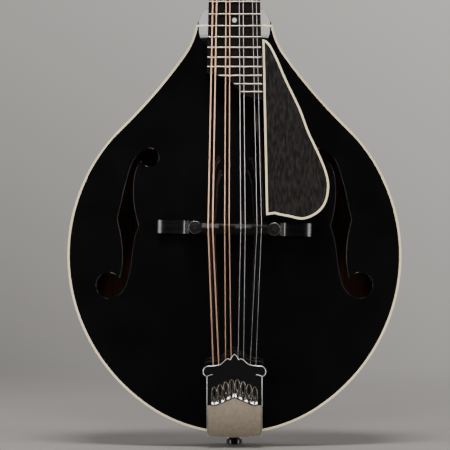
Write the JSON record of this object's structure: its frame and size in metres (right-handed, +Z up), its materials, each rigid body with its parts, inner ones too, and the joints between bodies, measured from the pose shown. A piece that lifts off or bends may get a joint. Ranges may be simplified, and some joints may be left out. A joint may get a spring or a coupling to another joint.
{
  "type": "mandolin",
  "caption": "A-style mandolin with f-holes, arched plates, raised pickguard, height-adjustable bridge, metal tailpiece and geared tuners.",
  "frame": {"origin": "hanger seat: on the centre plane, level with the nut's front edge, half way through the body's depth", "axes": "+Z up the neck, +X to the right of a viewer who faces the soundboard, -Y out of the soundboard"},
  "size_m": [0.2484, 0.1033, 0.6468],
  "materials": {
    "black_gloss": "black gloss lacquer over wood",
    "ivory": "polished ivory-coloured celluloid",
    "bare_wood": "unfinished spruce and maple",
    "ebony": "satin ebony",
    "guard": "dark satin wood grain",
    "nickel": "polished nickel",
    "steel": "plain steel wire",
    "bronze": "bronze winding",
    "brass": "turned brass",
    "pearl": "mother of pearl",
    "bone": "polished bone",
    "black_plastic": "black plastic"
  },
  "bodies": {
    "instrument": {"top_plate": "black_gloss", "back_plate": "black_gloss", "rim": "black_gloss", "linings": "bare_wood", "head_block": "bare_wood", "tail_block": "bare_wood", "tone_bars": "bare_wood", "top_binding": "ivory", "back_binding": "ivory", "neck": "black_gloss", "truss_rod": "steel", "truss_rod_cover": "black_plastic", "headstock_veneer": "black_gloss", "heel_cap": "ivory", "fingerboard": "ebony", "frets": "nickel", "position_dots": "pearl", "nut": "bone", "bridge_base": "ebony", "bridge_studs": "nickel", "tailpiece": "nickel", "end_pin": "black_plastic", "pickguard": "guard", "pickguard_binding": "ivory", "pickguard_supports": "brass", "g_strings": "bronze", "d_strings": "bronze", "a_strings": "steel", "e_strings": "steel", "tuner_plate_bass": "nickel", "tuner_plate_treble": "nickel", "post_bushings": "nickel", "wood_screws": "nickel"},
    "key_1": {"tuner_button_1": "ivory", "worm_shaft_1": "brass"},
    "post_1": {"string_post_1": "nickel"},
    "key_2": {"tuner_button_2": "ivory", "worm_shaft_2": "brass"},
    "post_2": {"string_post_2": "nickel"},
    "key_3": {"tuner_button_3": "ivory", "worm_shaft_3": "brass"},
    "post_3": {"string_post_3": "nickel"},
    "key_4": {"tuner_button_4": "ivory", "worm_shaft_4": "brass"},
    "post_4": {"string_post_4": "nickel"},
    "key_5": {"tuner_button_5": "ivory", "worm_shaft_5": "brass"},
    "post_5": {"string_post_5": "nickel"},
    "key_6": {"tuner_button_6": "ivory", "worm_shaft_6": "brass"},
    "post_6": {"string_post_6": "nickel"},
    "key_7": {"tuner_button_7": "ivory", "worm_shaft_7": "brass"},
    "post_7": {"string_post_7": "nickel"},
    "key_8": {"tuner_button_8": "ivory", "worm_shaft_8": "brass"},
    "post_8": {"string_post_8": "nickel"},
    "saddle": {"bridge_saddle": "ebony"},
    "wheel_bass": {"bridge_wheel_bass": "nickel"},
    "wheel_treble": {"bridge_wheel_treble": "nickel"}
  },
  "joints": [
    {"name": "key_1_turn", "type": "hinge", "parent": "instrument", "child": "key_1", "pos_m": [-0.0175, 0.01666, 0.02165], "axis": [1, 0, 0], "continuous": true},
    {"name": "post_1_turn", "type": "hinge", "parent": "instrument", "child": "post_1", "pos_m": [-0.0175, 0.00093, 0.03468], "axis": [0, -0.9367, 0.3502], "continuous": true},
    {"name": "key_2_turn", "type": "hinge", "parent": "instrument", "child": "key_2", "pos_m": [-0.0175, 0.02472, 0.04319], "axis": [1, 0, 0], "continuous": true},
    {"name": "post_2_turn", "type": "hinge", "parent": "instrument", "child": "post_2", "pos_m": [-0.0175, 0.00898, 0.05622], "axis": [0, -0.9367, 0.3502], "continuous": true},
    {"name": "key_3_turn", "type": "hinge", "parent": "instrument", "child": "key_3", "pos_m": [-0.0175, 0.03277, 0.06473], "axis": [1, 0, 0], "continuous": true},
    {"name": "post_3_turn", "type": "hinge", "parent": "instrument", "child": "post_3", "pos_m": [-0.0175, 0.01704, 0.07777], "axis": [0, -0.9367, 0.3502], "continuous": true},
    {"name": "key_4_turn", "type": "hinge", "parent": "instrument", "child": "key_4", "pos_m": [-0.0175, 0.04083, 0.08628], "axis": [1, 0, 0], "continuous": true},
    {"name": "post_4_turn", "type": "hinge", "parent": "instrument", "child": "post_4", "pos_m": [-0.0175, 0.02509, 0.09931], "axis": [0, -0.9367, 0.3502], "continuous": true},
    {"name": "key_5_turn", "type": "hinge", "parent": "instrument", "child": "key_5", "pos_m": [0.0175, 0.01666, 0.02165], "axis": [1, 0, 0], "continuous": true},
    {"name": "post_5_turn", "type": "hinge", "parent": "instrument", "child": "post_5", "pos_m": [0.0175, 0.00093, 0.03468], "axis": [0, -0.9367, 0.3502], "continuous": true},
    {"name": "key_6_turn", "type": "hinge", "parent": "instrument", "child": "key_6", "pos_m": [0.0175, 0.02472, 0.04319], "axis": [1, 0, 0], "continuous": true},
    {"name": "post_6_turn", "type": "hinge", "parent": "instrument", "child": "post_6", "pos_m": [0.0175, 0.00898, 0.05622], "axis": [0, -0.9367, 0.3502], "continuous": true},
    {"name": "key_7_turn", "type": "hinge", "parent": "instrument", "child": "key_7", "pos_m": [0.0175, 0.03277, 0.06473], "axis": [1, 0, 0], "continuous": true},
    {"name": "post_7_turn", "type": "hinge", "parent": "instrument", "child": "post_7", "pos_m": [0.0175, 0.01704, 0.07777], "axis": [0, -0.9367, 0.3502], "continuous": true},
    {"name": "key_8_turn", "type": "hinge", "parent": "instrument", "child": "key_8", "pos_m": [0.0175, 0.04083, 0.08628], "axis": [1, 0, 0], "continuous": true},
    {"name": "post_8_turn", "type": "hinge", "parent": "instrument", "child": "post_8", "pos_m": [0.0175, 0.02509, 0.09931], "axis": [0, -0.9367, 0.3502], "continuous": true},
    {"name": "saddle_height", "type": "slide", "parent": "instrument", "child": "saddle", "axis": [0, -1, 0], "range_m": [-0.0014, 0]},
    {"name": "thumbwheel_bass", "type": "hinge", "parent": "saddle", "child": "wheel_bass", "pos_m": [-0.02919, -0.0425, -0.35224], "axis": [0, -1, 0], "range_deg": [-720, 0]},
    {"name": "thumbwheel_treble", "type": "hinge", "parent": "saddle", "child": "wheel_treble", "pos_m": [0.02919, -0.0425, -0.35356], "axis": [0, -1, 0], "range_deg": [-720, 0]}
  ],
  "couplings": [
    {"joint": "post_1_turn", "follows": "key_1_turn", "ratio": -0.0625},
    {"joint": "post_2_turn", "follows": "key_2_turn", "ratio": -0.0625},
    {"joint": "post_3_turn", "follows": "key_3_turn", "ratio": -0.0625},
    {"joint": "post_4_turn", "follows": "key_4_turn", "ratio": -0.0625},
    {"joint": "post_5_turn", "follows": "key_5_turn", "ratio": -0.0625},
    {"joint": "post_6_turn", "follows": "key_6_turn", "ratio": -0.0625},
    {"joint": "post_7_turn", "follows": "key_7_turn", "ratio": -0.0625},
    {"joint": "post_8_turn", "follows": "key_8_turn", "ratio": -0.0625},
    {"joint": "thumbwheel_bass", "follows": "saddle_height", "rad_per_m": 8976},
    {"joint": "thumbwheel_treble", "follows": "saddle_height", "rad_per_m": 8976}
  ]
}
